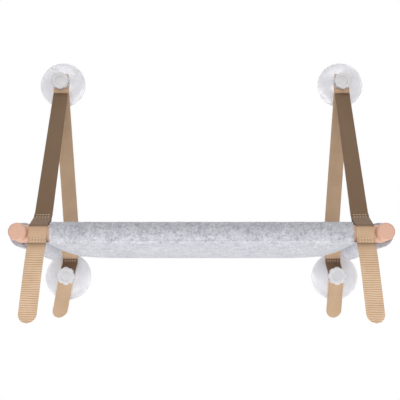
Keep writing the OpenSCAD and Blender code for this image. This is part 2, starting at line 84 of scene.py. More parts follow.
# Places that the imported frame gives
FRONT_BAR = middle("front_bar")
REAR_BAR = middle("rear_bar")
BAR_RADIUS = reach("front_bar").z
RAIL = middle("rail_right")
RAIL_RADIUS = reach("rail_right").x
UPPER_STUD = middle("stud_upper_right")
LOWER_STUD = middle("stud_lower_right")
KNOB_RADIUS = reach("knob_upper_right").x
NECK_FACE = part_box("cup_upper_right")[0].y
STRAP_X = middle("front_loop_right").x
STRAP_HALF_WIDTH = reach("front_loop_right").x
BELLY_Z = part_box("felt_sling")[0].z
HALF_SPACING = (REAR_BAR.y - FRONT_BAR.y) / 2

# Webbing routes: gaps, reaches and angles, as in the CAD model
NECK_RADIUS = 11 * MM
LAYER_GAP = 0.1 * MM
BAR_GAP = 0.3 * MM
STRAP_END_LENGTH = 14 * MM
STUD_HOLE_RADIUS = 3.3 * MM
KNOB_BEND = 3.5 * MM
SEAM_BEND = 3 * MM
FRONT_FLAT_LENGTH = 4 * MM
FRONT_LOOP_REACH = 22 * MM
FRONT_TAIL_REACH = 3 * MM
FRONT_SEAM_ANGLE = 215
FRONT_TAB_ANGLE = 240
FRONT_TAIL_DROP = 121 * MM
FRONT_TAIL_STAND = 22 * MM
FRONT_TAIL_LEAN = 10 * MM
REAR_LOOP_REACH = 21 * MM
REAR_TAIL_REACH = 5.5 * MM
REAR_SEAM_ANGLE = 270
REAR_TAIL_DROP = 117 * MM
REAR_TAIL_LEANS = {LEFT: 11 * MM, RIGHT: -7 * MM}
REAR_TAIL_SWING = 3 * MM
TAIL_START_SHARE = 0.16
TAIL_HANG_SHARE = 0.55
ARC_STEPS = 40
CURVE_STEPS = 24
POINT_GAP = 0.01 * MM

# Weave: how finely it is drawn, where its ribs open, and where shade is painted on it
STATIONS_PER_RIB = 4
SECTION_STEPS = 28
SECTION_SQUARENESS = 0.3
HOLE_SEGMENTS = 32
YARN_WIDTH = 1.25 * MM
RIB_WANDER = 0.9 * MM
WANDER_WIDTH = 11 * MM
SEALED_LENGTH = 1.2 * MM
ROUND_FOOT_SHARE = 0.0004
FLAT_RIB_SHARE = 0.12
FLAT_PAINTED_SHADE_SHARE = 0.4
OPENING_RUN = 26 * MM
PAINTED_SHADE_START = 4 * MM
PAINTED_SHADE_FADE = 22 * MM
LOOP_PAINTED_SHADE_ANGLE = 150
PAINTED_SHADE_SHARE = 0.92
WELD = 0.001 * MM

# Stitches, with the rows on the tabs of a loop as shares of the tab's length
PRESS_DEPTH = 0.22 * MM
PRESS_WIDTH = 0.9 * MM
STITCH_MARGIN = 2.4 * MM
ROW_STITCHES = 5
UPPER_ROW_SHARES = (0.3, 0.9)
LOWER_ROW_SHARES = (0.32, 0.86)
STITCH_SHARE = 0.62
FELT_STITCH_SHARE = 0.72
STITCH_SEGMENTS = 6
STITCH_RINGS = 5

# Felt sling: sleeves, side tubes and dish, as in the CAD model where it shows them
SLEEVE_END_GAP = 3 * MM
SLEEVE_END = STRAP_X - STRAP_HALF_WIDTH - SLEEVE_END_GAP
SLEEVE_GAP = 0.3 * MM
TUBE_SLACK = 1.4 * MM
TUBE_SAG = 1.1 * MM
TUBE_FRONT_INSET = 11 * MM
TUBE_REAR_INSET = 16 * MM
TUBE_FRONT_SLANT = 23 * MM
TUBE_REAR_SLANT = 11 * MM
TUBE_HANG = 3.2 * MM
HANG_START_SHARE = 0.25
SEAM_DEPTH = 11.6 * MM
SEAM_REACH = 10 * MM
SIDE_DEPTH = 1.5 * MM
CORNER_START = 22 * MM
CORNER_RUN = 22 * MM
BELLY_POWER = 9
SEAM_INSET = 7.5 * MM
SIDE_SEAM_INSET = 6 * MM
SIDE_SEAM_SHARE = 0.66
SEAM_WIDTH = 1.6 * MM
SEAM_SINK = 0.7 * MM
EDGE_ROUNDS_PER_THICKNESS = 5
PANEL_COLUMNS = 130
PANEL_ROWS = 130
TUBE_SEGMENTS = 72
TUBE_STEP = 3.2 * MM
MOUTH_SHADE_WIDTH = 1.5 * MM
LUMP_WIDTH = 9 * MM
SMALL_LUMPS_PER_LUMP = 2.3

# Growth rings of the beech
RING_WIDTH = 2.2 * MM
PITH_OFFSET = 21 * MM

# The stage
FLOOR_TONES = ("#F7F7F7", "#F2F2F2")
FLOOR_HALF_WIDTH = 1900 * MM
FLOOR_GLOW_SHARE = 0.55
FLOOR_LAMP_LIFT = 20 * MM
SENSOR_WIDTH = 36


def linear(hex_colour):
    """An sRGB hex colour as linear red, green and blue."""
    shares = [int(hex_colour[i:i + 2], 16) / 255 for i in (1, 3, 5)]
    return [s / 12.92 if s <= 0.04045 else ((s + 0.055) / 1.055) ** 2.4 for s in shares]


def size(name, millimetres, description):
    """A length that the sidebar shows."""
    default = millimetres * MM
    return FloatProperty(name=name, description=description, default=default, unit="LENGTH", precision=5)


def colour(name, hex_colour, description):
    """A colour that the sidebar shows."""
    default = linear(hex_colour)
    return FloatVectorProperty(
        name=name, description=description, default=default, subtype="COLOR", size=3, min=0, max=1
    )


def power(name, watts, description):
    """A lamp's power that the sidebar shows."""
    return FloatProperty(name=name, description=description, default=watts, unit="POWER")


class PerchWebbing(PropertyGroup):
    """Sizes and colours of the webbing"""

    width: size("Width", 25, "Width of the webbing")
    thickness: size("Thickness", 1.5, "Thickness of the webbing over its ribs")
    rib_pitch: size("Rib pitch", 3.0, "Distance from one rib of the weave to the next")
    rib_depth: size("Rib depth", 0.16, "Depth of the valleys between the ribs, on each face")
    scallop: size("Scallop", 0.3, "How far the ribs stand out along the edges")
    tab_length: size("Tab length", 9, "Length of the sewn tab at each end of a loop")
    thread: size("Thread", 1.1, "Thickness of the sewing thread")
    colour: colour("Nylon", "#E4C6A8", "Colour of the ribs")
    # Painted shade in the valleys between the ribs
    valley_shade_colour: colour("Valleys", "#B18E6C", "Colour in the valleys of the weave")
    # Painted shade: a dark tone laid on the front straps' inclined spans and the rear tabs, where they lie
    # in shade
    dark_colour: colour("Closed yarn", "#6E533B", "Colour of closed yarns on front spans and rear tabs")
    end_colour: colour("Sealed ends", "#6E5A41", "Colour of the melted yarn at the cut ends")
    thread_colour: colour("Thread", "#F4E4CC", "Colour of the thread on the webbing")


class PerchFelt(PropertyGroup):
    """Sizes and colours of the felt"""

    thickness: size("Thickness", 4, "Thickness of the felt")
    unevenness: size("Unevenness", 0.25, "Height of the soft lumps in the felt's surface")
    lip: size("Lip", 1.1, "How far the cut edge of the sling stands out below a sleeve")
    stitch_pitch: size("Stitch pitch", 4.2, "Distance from one stitch to the next")
    thread: size("Thread", 0.7, "Thickness of the sewing thread")
    colour: colour("Wool", "#C7C7CE", "Main colour of the felt")
    dark_colour: colour("Dark fibres", "#8F929C", "Colour of the dark fibres")
    pale_colour: colour("Pale fibres", "#E5E5EA", "Colour of the pale fibres")
    thread_colour: colour("Thread", "#E4E4EA", "Colour of the thread in the felt")


class PerchFinishes(PropertyGroup):
    """Colours of the wood, the plastics and the metals"""

    beech: colour("Beech", "#DFB39D", "Colour of the sanded beech")
    beech_grain: colour("Beech grain", "#C8987E", "Colour of the grain and flecks in the beech")
    cup: colour("Cup", "#F3F2F6", "Colour of the soft plastic of the suction cups")
    knob: colour("Knob", "#E0DFE0", "Colour of the moulded nylon of knobs and studs")
    zinc: colour("Zinc", "#C3C7CB", "Colour of the plated frame bolts")
    brass: colour("Brass", "#CBAE72", "Colour of the threaded inserts")


class PerchStage(PropertyGroup):
    """Camera, floor and lamps"""

    camera_distance: size("Camera distance", 1485.3, "Distance from the glass to the camera")
    camera_drop: size("Camera drop", 100.2, "Depth of the camera below the frame's centre plane")
    camera_pitch: FloatProperty(
        name="Camera pitch",
        description="How far the camera looks up",
        default=math.radians(7.03),
        subtype="ANGLE",
    )
    lens: FloatProperty(name="Lens", description="Focal length in millimetres", default=78.4, unit="CAMERA")
    camera_shift: FloatProperty(
        name="Camera shift", description="Sideways shift of the frame", default=-0.00375
    )
    floor_drop: size("Floor drop", 620, "Depth of the floor below the frame's centre plane")
    front_lamp: power("Front lamp", 29, "Power of the wide lamp in front, at the height of the perch")
    low_lamp: power("Low front lamp", 0.5, "Power of the low lamp in front")
    side_lamps: power("Side lamps", 0.5, "Power of each low lamp in front at the sides")
    floor_lamp: power("Floor lamp", 6.2, "Power of the light off the floor")
    back_lamp: power("Back lamp", 12, "Power of the high lamp behind")
    top_lamp: power("Top lamp", 5.5, "Power of the lamp overhead")
    room_light: FloatProperty(
        name="Room light", description="Strength of the soft light all round", default=0.12
    )


# Curves and routes of the webbing


def heading(degrees):
    """A direction across the straps: 0 points into the glass and 90 points up."""
    angle = math.radians(degrees)
    return Vector((0, math.cos(angle), math.sin(angle)))


def heading_of(vector):
    """The direction of a vector in degrees, from 0 to 360."""
    return math.degrees(math.atan2(vector.z, vector.y)) % 360


def curve(handles, count):
    """Points along the smooth curve that these handles draw."""
    points = []
    for i in range(count + 1):
        row = list(handles)
        while len(row) > 1:
            row = [a.lerp(b, i / count) for a, b in zip(row, row[1:])]
        points.append(row[0])
    return points


def bend(before, corner, after, length):
    """A soft corner that starts and ends this far from its point."""
    start = corner + length * (before - corner).normalized()
    end = corner + length * (after - corner).normalized()
    return curve([start, corner, end], CURVE_STEPS)


def ply(bar, up, down, tab, up_reach, down_reach, face, webbing):
    """One layer of a loop, tab to tab: face +1 passes in front of the bar, -1 behind it."""
    radius = BAR_RADIUS + BAR_GAP + webbing.thickness / 2
    offset = (webbing.thickness + LAYER_GAP) / 2
    top = (BAR_RADIUS + up_reach) * heading(up) + face * offset * heading(up + 90)
    foot = (BAR_RADIUS + down_reach) * heading(down) - face * offset * heading(tab + 90)
    top_end = top + webbing.tab_length * heading(up)
    foot_end = foot + webbing.tab_length * heading(tab)
    round_trip = 0 if face > 0 else 360
    first = heading_of(top) + face * math.degrees(math.acos(radius / top.length))
    last = heading_of(foot) - round_trip - face * math.degrees(math.acos(radius / foot.length))
    arc = [radius * heading(first + (last - first) * i / ARC_STEPS) for i in range(ARC_STEPS + 1)]
    path = [top_end, *bend(top_end, top, arc[0], SEAM_BEND), *arc]
    path += [*bend(arc[-1], foot, foot_end, SEAM_BEND), foot_end]
    centre = Vector((0, bar.y, bar.z))
    return [centre + p for p in path]


def leaned(points, lean, side):
    """The same points with the sideways place that lean gives for their height."""
    return [Vector((side * lean(p.z), p.y, p.z)) for p in points]


def ramp(value, start, end, low, high):
    """A straight change from low to high between start and end, level beyond them."""
    share = min(1, max(0, (value - start) / (end - start)))
    return low + (high - low) * share


def smooth_step(value):
    """0 below 0, 1 above 1 and a soft change between."""
    share = min(1, max(0, value))
    return share * share * (3 - 2 * share)


class Route:
    """The centre line of a strap, with its place and directions at each distance along it."""

    def __init__(self, points):
        self.points = [points[0]]
        self.travels = [0.0]
        for point in points[1:]:
            step = (point - self.points[-1]).length
            if step > POINT_GAP:
                self.points.append(point)
                self.travels.append(self.travels[-1] + step)
        self.length = self.travels[-1]

    def point(self, travel):
        """The point at a distance along the route."""
        travel = min(self.length, max(0, travel))
        i = min(len(self.points) - 2, bisect_right(self.travels, travel) - 1)
        share = (travel - self.travels[i]) / (self.travels[i + 1] - self.travels[i])
        return self.points[i].lerp(self.points[i + 1], share)

    def travel_of(self, place):
        """The distance along the route at which it passes closest to a place, seen from the side."""
        gaps = [(point.yz - place.yz).length for point in self.points]
        return self.travels[gaps.index(min(gaps))]

    def frame(self, travel):
        """Point, direction along and direction out of the webbing's face. The weft lies level."""
        feel = 0.4 * MM
        along = (self.point(travel + feel) - self.point(travel - feel)).normalized()
        out = Vector((0, along.z, -along.y)).normalized()
        return self.point(travel), along, out


def strap_levels(webbing):
    """Distance from the glass of the rear strap, and of the front strap that is clamped over it."""
    rear = NECK_FACE - LAYER_GAP - webbing.thickness / 2
    return rear, rear - webbing.thickness - LAYER_GAP


def front_plies(webbing):
    """The inclined front strap's corner below its knob, and its two layers round the front bar."""
    front = strap_levels(webbing)[1]
    corner = Vector((0, front, UPPER_STUD.z - KNOB_RADIUS - FRONT_FLAT_LENGTH))
    up = heading_of(corner - Vector((0, FRONT_BAR.y, 0)))
    main, loop = [
        ply(
            FRONT_BAR, up, FRONT_SEAM_ANGLE, FRONT_TAB_ANGLE,
            FRONT_LOOP_REACH, FRONT_TAIL_REACH, face, webbing
        )
        for face in (-1, 1)
    ]
    return corner, main, loop


def front_routes(webbing, side):
    """Routes of a front strap with its tail, and of its loop piece."""
    corner, main, loop = front_plies(webbing)
    tab_foot = main[-1]
    foot = Vector((0, FRONT_BAR.y - FRONT_TAIL_STAND, -FRONT_TAIL_DROP))
    hang = tab_foot.z - foot.z
    top = Vector((0, corner.y, UPPER_STUD.z + STRAP_END_LENGTH))
    tail = curve(
        [
            tab_foot,
            tab_foot + TAIL_START_SHARE * hang * heading(FRONT_TAB_ANGLE),
            foot + Vector((0, 0, TAIL_HANG_SHARE * hang)),
            foot,
        ],
        CURVE_STEPS,
    )
    path = [top, *bend(top, corner, Vector((0, FRONT_BAR.y, 0)), KNOB_BEND), *main, *tail]

    def lean(z):
        if z > 0:
            return ramp(z, main[0].z, corner.z, STRAP_X, UPPER_STUD.x)
        return ramp(-z, -tab_foot.z, FRONT_TAIL_DROP, STRAP_X, STRAP_X + FRONT_TAIL_LEAN)

    return Route(leaned(path, lean, side)), Route(leaned(loop, lean, side))


def rear_routes(webbing, side):
    """Routes of a rear strap with its tail, and of its loop piece."""
    level = strap_levels(webbing)[0]
    turn = Vector((0, level, UPPER_STUD.z - NECK_RADIUS))
    up = heading_of(turn - Vector((0, REAR_BAR.y, 0)))
    main, loop = [
        ply(
            REAR_BAR, up, REAR_SEAM_ANGLE, REAR_SEAM_ANGLE,
            REAR_LOOP_REACH, REAR_TAIL_REACH, face, webbing
        )
        for face in (-1, 1)
    ]
    flat_foot = Vector((0, level, LOWER_STUD.z - NECK_RADIUS))
    foot = Vector((0, level - REAR_TAIL_SWING, -REAR_TAIL_DROP))
    tail = curve([flat_foot, flat_foot.lerp(Vector((0, level, foot.z)), 1 / 2), foot], CURVE_STEPS)
    top = Vector((0, level, UPPER_STUD.z + STRAP_END_LENGTH))
    path = [top, Vector((0, level, UPPER_STUD.z)), turn, *main]
    path += [Vector((0, level, LOWER_STUD.z + NECK_RADIUS)), Vector((0, level, LOWER_STUD.z)), *tail]

    def lean(z):
        if z > 0:
            return ramp(z, main[0].z, UPPER_STUD.z, STRAP_X, UPPER_STUD.x)
        if z > LOWER_STUD.z:
            return ramp(-z, -main[-1].z, -LOWER_STUD.z, STRAP_X, LOWER_STUD.x)
        return ramp(-z, -LOWER_STUD.z, REAR_TAIL_DROP, LOWER_STUD.x, LOWER_STUD.x + REAR_TAIL_LEANS[side])

    return Route(leaned(path, lean, side)), Route(leaned(loop, lean, side))


# Making pieces


def finished(name, bm, material, sharp_degrees=50):
    """Turns a bmesh into an object at the origin, with outward faces and one material."""
    bmesh.ops.recalc_face_normals(bm, faces=bm.faces)
    mesh = bpy.data.meshes.new(name)
    bm.to_mesh(mesh)
    bm.free()
    mesh.shade_smooth()
    mesh.set_sharp_from_angle(angle=math.radians(sharp_degrees))
    mesh.materials.append(material)
    piece = bpy.data.objects.new(name, mesh)
    bpy.context.scene.collection.objects.link(piece)
    return piece


def cut_round(piece, centre, radius, depth):
    """Cuts a round hole along Y through a piece."""
    bm = bmesh.new()
    turn = Matrix.Translation(centre) @ Matrix.Rotation(math.pi / 2, 4, "X")
    bmesh.ops.create_cone(
        bm, cap_ends=True, segments=HOLE_SEGMENTS, radius1=radius, radius2=radius, depth=depth, matrix=turn
    )
    cutter = finished("hole", bm, piece.data.materials[0])
    modifier = piece.modifiers.new("hole", "BOOLEAN")
    modifier.operation = "DIFFERENCE"
    modifier.solver = "EXACT"
    modifier.object = cutter
    bpy.context.view_layer.update()
    cut = bpy.data.meshes.new_from_object(piece.evaluated_get(bpy.context.evaluated_depsgraph_get()))
    piece.modifiers.clear()
    whole = piece.data
    piece.data = cut
    hole = cutter.data
    bpy.data.objects.remove(cutter)
    bpy.data.meshes.remove(hole)
    bpy.data.meshes.remove(whole)
    cut.name = piece.name


def inside(travel, start, end, fade=PAINTED_SHADE_START):
    """1 between two distances along a route and 0 beyond them, with a soft start and end."""
    return min(smooth_step((travel - start) / PAINTED_SHADE_START), smooth_step((end - travel) / fade))


def woven_band(name, route, webbing, material, painted_shade_span, open_from=math.inf, rows=(), round_foot=False):
    """Ribbed webbing along a route. Its UV map holds the distances across and along, in metres.

    Its ribs lie flat up to open_from and open beyond it. Over the span it is given it carries painted
    shade, and its seams press it in at the sewn rows, where shade is painted in the dents.
    """
    bm = bmesh.new()
    uv = bm.loops.layers.uv.new("weave")
    across_layer = bm.verts.layers.float.new("across")
    along_layer = bm.verts.layers.float.new("along")
    layers = {kind: bm.verts.layers.float.new(kind) for kind in ("sealed", "open", "dark", "dent_and_shade")}
    stations = round(route.length / webbing.rib_pitch * STATIONS_PER_RIB)
    frames = [route.frame(route.length * i / stations) for i in range(stations + 1)]
    grid = bmesh.ops.create_grid(bm, x_segments=SECTION_STEPS, y_segments=stations, size=0.5)
    half = webbing.width / 2
    for vert in grid["verts"]:
        turn = math.tau * (vert.co.x + 0.5)
        travel = route.length * (vert.co.y + 0.5)
        opened = FLAT_RIB_SHARE + (1 - FLAT_RIB_SHARE) * smooth_step((travel - open_from) / OPENING_RUN)
        dent_and_shade = max((math.exp(-(((travel - row) / PRESS_WIDTH) ** 2)) for row in rows), default=0)
        valley = (1 - abs(math.sin(math.pi * travel / webbing.rib_pitch))) * opened
        width = half - webbing.scallop * valley
        past = (travel - route.length + half) / half
        if round_foot and past > 0:
            width *= math.sqrt(max(ROUND_FOOT_SHARE, 1 - past * past))
        lift = webbing.thickness / 2 - webbing.rib_depth * valley - PRESS_DEPTH * dent_and_shade
        across = width * math.copysign(abs(math.cos(turn)) ** SECTION_SQUARENESS, math.cos(turn))
        height = lift * math.copysign(abs(math.sin(turn)) ** SECTION_SQUARENESS, math.sin(turn))
        point, along, out = frames[round(stations * (vert.co.y + 0.5))]
        vert.co = point + Vector((across / math.sqrt(1 - along.x ** 2), 0, 0)) + height * out
        if SEALED_LENGTH < travel < route.length - SEALED_LENGTH:
            vert.co += along * RIB_WANDER * noise.noise(Vector((across, travel, 0)) / WANDER_WIDTH)
        vert[across_layer] = across
        vert[along_layer] = travel
        vert[layers["sealed"]] = smooth_step(1 - min(travel, route.length - travel) / SEALED_LENGTH)
        vert[layers["open"]] = opened
        vert[layers["dark"]] = inside(travel, *painted_shade_span)
        vert[layers["dent_and_shade"]] = dent_and_shade
    bmesh.ops.remove_doubles(bm, verts=bm.verts, dist=WELD)
    bmesh.ops.holes_fill(bm, edges=[e for e in bm.edges if e.is_boundary])
    for face in bm.faces:
        for loop in face.loops:
            loop[uv].uv = (loop.vert[across_layer], loop.vert[along_layer])
    return finished(name, bm, material)


def thread_piece(name, stitches, thickness, material):
    """Short lengths of thread, each lying over the cloth between two needle holes."""
    bm = bmesh.new()
    for start, end, out in stitches:
        along = (end - start).normalized()
        side = along.cross(out).normalized()
        place = Matrix((side, side.cross(along), along)).transposed().to_4x4()
        place.translation = (start + end) / 2
        stretch = Matrix.Diagonal((thickness / 2, thickness / 2, (end - start).length / 2, 1))
        bmesh.ops.create_uvsphere(
            bm, u_segments=STITCH_SEGMENTS, v_segments=STITCH_RINGS, radius=1, matrix=place @ stretch
        )
    return finished(name, bm, material, sharp_degrees=180)


def across_row(route, travel, lift, webbing):
    """The needle holes of a row across the webbing at a distance along its route."""
    row = []
    for i in range(ROW_STITCHES + 1):
        across = (webbing.width - 2 * STITCH_MARGIN) * (i / ROW_STITCHES - 1 / 2)
        point, _, out = route.frame(travel)
        row.append((point + Vector((across, 0, 0)) + lift * out, math.copysign(1, lift) * out))
    return row


def stitched(row, share):
    """A stitch from each point of a row to the next, over this share of the way."""
    gap = (1 - share) / 2
    return [(a[0].lerp(b[0], gap), b[0].lerp(a[0], gap), a[1]) for a, b in zip(row, row[1:])]


# Felt shapes


def sling_half_depth(felt):
    """Half the sling's depth, with its seams round the bars' sleeves."""
    return HALF_SPACING + SEAM_REACH + felt.lip


def sling_reach(v, felt):
    """The sling's half width at a share v of its depth, and at its widest. Its corners are cut away."""
    widest = RAIL.x - RAIL_RADIUS - TUBE_SLACK - felt.thickness / 2
    from_bar = HALF_SPACING - abs(v) * (HALF_SPACING + SEAM_REACH) - CORNER_START
    return SLEEVE_END + (widest - SLEEVE_END) * smooth_step(from_bar / CORNER_RUN), widest


def sling_point(u, v, felt):
    """A point of the sling's underside: u runs from left to right and v from front to rear, -1 to 1."""
    half_width, widest = sling_reach(v, felt)
    x = u * half_width
    middle_z = BELLY_Z + (-BELLY_Z - SEAM_DEPTH) * v * v
    z = middle_z + (-SIDE_DEPTH - middle_z) * (abs(x) / widest) ** BELLY_POWER
    return Vector((x, (FRONT_BAR.y + REAR_BAR.y) / 2 + v * sling_half_depth(felt), z))


def felt_panel(felt):
    """The sling between its seams: a shallow dish of thick felt with soft cut edges and drawn-in seams."""
    bm = bmesh.new()
    u_layer = bm.verts.layers.float.new("u")
    v_layer = bm.verts.layers.float.new("v")
    lower = bmesh.ops.create_grid(bm, x_segments=PANEL_COLUMNS, y_segments=PANEL_ROWS, size=1)["verts"]
    for vert in lower:
        vert[u_layer] = math.sin(vert.co.x * math.pi / 2)
        vert[v_layer] = math.sin(vert.co.y * math.pi / 2)
    made = bmesh.ops.extrude_face_region(bm, geom=bm.faces[:])
    upper = {g for g in made["geom"] if isinstance(g, bmesh.types.BMVert)}
    soft = felt.thickness / EDGE_ROUNDS_PER_THICKNESS
    half_depth = sling_half_depth(felt)
    for vert in bm.verts:
        u, v = vert[u_layer], vert[v_layer]
        half_width, widest = sling_reach(v, felt)
        from_side = half_width - abs(u) * half_width
        from_end = half_depth - abs(v) * half_depth
        edge = soft - min(soft, from_side, from_end)
        inward = soft - math.sqrt(soft * soft - edge * edge)
        seam = math.exp(-(((from_end - SEAM_INSET) / SEAM_WIDTH) ** 2))
        side = math.exp(-(((widest - abs(u) * half_width - SIDE_SEAM_INSET) / SEAM_WIDTH) ** 2))
        inward += SEAM_SINK * max(seam, side)
        vert.co = sling_point(u, v, felt)
        vert.co.z += felt.thickness - inward if vert in upper else inward
    return bm


def felt_tube(felt, axis, centre, length, bore):
    """A felt tube round a dowel along one axis, with soft cut ends."""
    bm = bmesh.new()
    turn = Matrix.Rotation(math.pi / 2, 4, "Y" if axis == "X" else "X")
    for radius in (bore, bore + felt.thickness):
        bmesh.ops.create_cone(
            bm, cap_ends=False, segments=TUBE_SEGMENTS, radius1=radius, radius2=radius, depth=length,
            matrix=turn,
        )
    rims = [e for e in bm.edges if e.is_boundary]
    along = "XY".index(axis)
    for end in (-1, 1):
        bmesh.ops.bridge_loops(bm, edges=[e for e in rims if e.verts[0].co[along] * end > 0])
    soft = felt.thickness / EDGE_ROUNDS_PER_THICKNESS
    bmesh.ops.bevel(bm, geom=rims, offset=soft, segments=3, profile=0.5, affect="EDGES", material=-1)
    lines = [e for e in bm.edges if e.calc_length() > length / 2]
    bmesh.ops.subdivide_edges(bm, edges=lines, cuts=round(length / TUBE_STEP), use_grid_fill=True)
    # Painted shade at the tube's ends, darkest at the bore
    mouth_shade = bm.verts.layers.float.new("mouth_shade")
    for vert in bm.verts:
        at_end = smooth_step(1 - (length / 2 - abs(vert.co[along])) / MOUTH_SHADE_WIDTH)
        vert[mouth_shade] = at_end * (1 - (math.hypot(vert.co[1 - along], vert.co.z) - bore) / felt.thickness)
    bmesh.ops.translate(bm, verts=bm.verts, vec=centre)
    return bm


def joined(parts):
    """One bmesh that holds the shapes of several."""
    whole = bmesh.new()
    for part in parts:
        mesh = bpy.data.meshes.new("part")
        part.to_mesh(mesh)
        part.free()
        whole.from_mesh(mesh)
        bpy.data.meshes.remove(mesh)
    return whole


def slant_ends(bm, side, felt):
    """Draws the ends of a side tube further in on the side of the sling."""
    outside = RAIL_RADIUS + TUBE_SLACK + felt.thickness
    low = min(v.co.y for v in bm.verts)
    high = max(v.co.y for v in bm.verts)
    centre = (low + high) / 2
    for vert in bm.verts:
        inner_share = (outside - (side * vert.co.x - RAIL.x)) / (2 * outside)
        slant = TUBE_FRONT_SLANT if vert.co.y < centre else TUBE_REAR_SLANT
        vert.co.y = centre + (vert.co.y - centre) * (1 - slant * inner_share / (high - centre))


def hang_lower(bm, felt):
    """Lets the underside of a side tube hang lower towards the window, where little pulls on it."""
    outside = RAIL_RADIUS + TUBE_SLACK + felt.thickness
    low = min(v.co.y for v in bm.verts)
    high = max(v.co.y for v in bm.verts)
    for vert in bm.verts:
        under = smooth_step((RAIL.z - TUBE_SAG - vert.co.z) / outside)
        rear_share = (vert.co.y - low) / (high - low)
        slack = smooth_step((rear_share - HANG_START_SHARE) / (1 - HANG_START_SHARE))
        vert.co.z -= TUBE_HANG * under * slack


def rumple(bm, felt):
    """Moves the felt's surface in and out in soft lumps, as needled wool has."""
    bm.normal_update()
    for vert in bm.verts:
        small_lump = noise.noise(vert.co * SMALL_LUMPS_PER_LUMP / LUMP_WIDTH)
        lump = noise.noise(vert.co / LUMP_WIDTH) + small_lump / 2
        vert.co += vert.normal * felt.unevenness * lump


# Materials


def add_node(tree, kind, inputs=(), **settings):
    """Adds a node. Each input is a socket's name or number, with a value or another node's output."""
    node = tree.nodes.new(kind)
    for name, value in settings.items():
        setattr(node, name, value)
    for socket, value in dict(inputs).items():
        if isinstance(value, bpy.types.NodeSocket):
            tree.links.new(value, node.inputs[socket])
        else:
            node.inputs[socket].default_value = value
    return node


def new_material(name):
    """An empty material and its node tree."""
    material = bpy.data.materials.new(name)
    material.use_nodes = True
    material.node_tree.nodes.clear()
    return material, material.node_tree


def surface(tree, tone, roughness, height, bump, constants):
    """The shader at the end of a material: colour, roughness, a height map with its depth, constants."""
    bumped = add_node(tree, "ShaderNodeBump", {"Strength": 1.0, "Distance": bump, "Height": height})
    inputs = {"Base Color": tone, "Roughness": roughness, "Normal": bumped.outputs[0], **constants}
    shader = add_node(tree, "ShaderNodeBsdfPrincipled", inputs)
    add_node(tree, "ShaderNodeOutputMaterial", {"Surface": shader.outputs[0]})


def rgba(colour_values):
    """A colour with full opacity."""
    return (*colour_values, 1)


def mixed(tree, factor, first, second):
    """A colour between two others."""
    inputs = {0: factor, 6: first, 7: second}
    return add_node(tree, "ShaderNodeMix", inputs, data_type="RGBA", clamp_factor=True).outputs[2]


def shaded(tree, mask, tint, share):
    """A colour that is darkened to this share of it where the mask is 1."""
    return mixed(tree, mask, rgba(tint), rgba([share * c for c in tint]))


def overlaid(tree, tone, mask, strength, tint):
    """A tone with another colour laid over it at this strength where the mask is 1."""
    return mixed(tree, maths(tree, "MULTIPLY", mask, strength), tone, rgba(tint))


def ranged(tree, value, low, high, to_low=0.0, to_high=1.0):
    """A value's range from low to high, spread over another."""
    inputs = {0: value, 1: low, 2: high, 3: to_low, 4: to_high}
    return add_node(tree, "ShaderNodeMapRange", inputs, clamp=True).outputs[0]


def maths(tree, operation, first, second=0.0):
    """A sum on one or two values."""
    return add_node(tree, "ShaderNodeMath", {0: first, 1: second}, operation=operation).outputs[0]


def speckle(tree, width, stretch=(1, 1, 1), detail=2.0, rough=0.5, distortion=0.0):
    """Soft noise whose spots are about this wide in metres, stretched along an axis."""
    where = add_node(tree, "ShaderNodeTexCoord").outputs["Object"]
    scaled = add_node(tree, "ShaderNodeMapping", {"Vector": where, "Scale": [1 / s for s in stretch]})
    inputs = {
        "Vector": scaled.outputs[0], "Scale": 1 / width, "Detail": detail, "Roughness": rough,
        "Distortion": distortion,
    }
    return add_node(tree, "ShaderNodeTexNoise", inputs).outputs[0]


def sanded_beech(finishes, axis):
    """Sanded beech dowel: warm and matt, with faint growth rings and short fine flecks along the dowel."""
    material, tree = new_material(f"sanded_beech_along_{axis.lower()}")
    along, across, up = {"X": (0, 1, 2), "Y": (1, 0, 2)}[axis]
    where = add_node(tree, "ShaderNodeTexCoord").outputs["Object"]
    parts = add_node(tree, "ShaderNodeSeparateXYZ", {0: where}).outputs
    wander = speckle(tree, 9 * MM, tuple(14 if i == along else 1 for i in range(3)))
    # Each ring is a curve round a pith that lies outside the dowel
    first = maths(tree, "ADD", parts[across], PITH_OFFSET)
    second = maths(tree, "ADD", parts[up], PITH_OFFSET)
    radius = maths(tree, "SQRT", maths(tree, "ADD", maths(tree, "MULTIPLY", first, first),
                                       maths(tree, "MULTIPLY", second, second)))
    bent = maths(tree, "ADD", radius, maths(tree, "MULTIPLY", wander, 3 * RING_WIDTH))
    rings = maths(tree, "SINE", maths(tree, "MULTIPLY", bent, math.tau / RING_WIDTH))
    ring_share = ranged(tree, rings, -1, 1, 0, 0.42)
    flecks = speckle(tree, 0.9 * MM, tuple(7 if i == along else 1 for i in range(3)), detail=3)
    fleck_share = ranged(tree, flecks, 0.56, 0.72, 0, 0.55)
    blush = ranged(tree, speckle(tree, 45 * MM, detail=1), 0.3, 0.7, 0, 0.35)
    share = maths(tree, "MAXIMUM", maths(tree, "MAXIMUM", ring_share, fleck_share), blush)
    tone = mixed(tree, share, rgba(finishes.beech), rgba(finishes.beech_grain))
    roughness = ranged(tree, flecks, 0.3, 0.7, 0.52, 0.66)
    surface(tree, tone, roughness, flecks, 0.12 * MM, {"Specular IOR Level": 0.4})
    return material


def cloudy_metal(name, tint, dulling, cloud_width, smoothest, roughest):
    """A bright metal that is duller and rougher in small clouds."""
    material, tree = new_material(name)
    clouds = speckle(tree, cloud_width, detail=4)
    tone = shaded(tree, ranged(tree, clouds, 0.35, 0.65), tint, dulling)
    roughness = ranged(tree, clouds, 0.3, 0.7, smoothest, roughest)
    surface(tree, tone, roughness, clouds, 0.03 * MM, {"Metallic": 1.0})
    return material


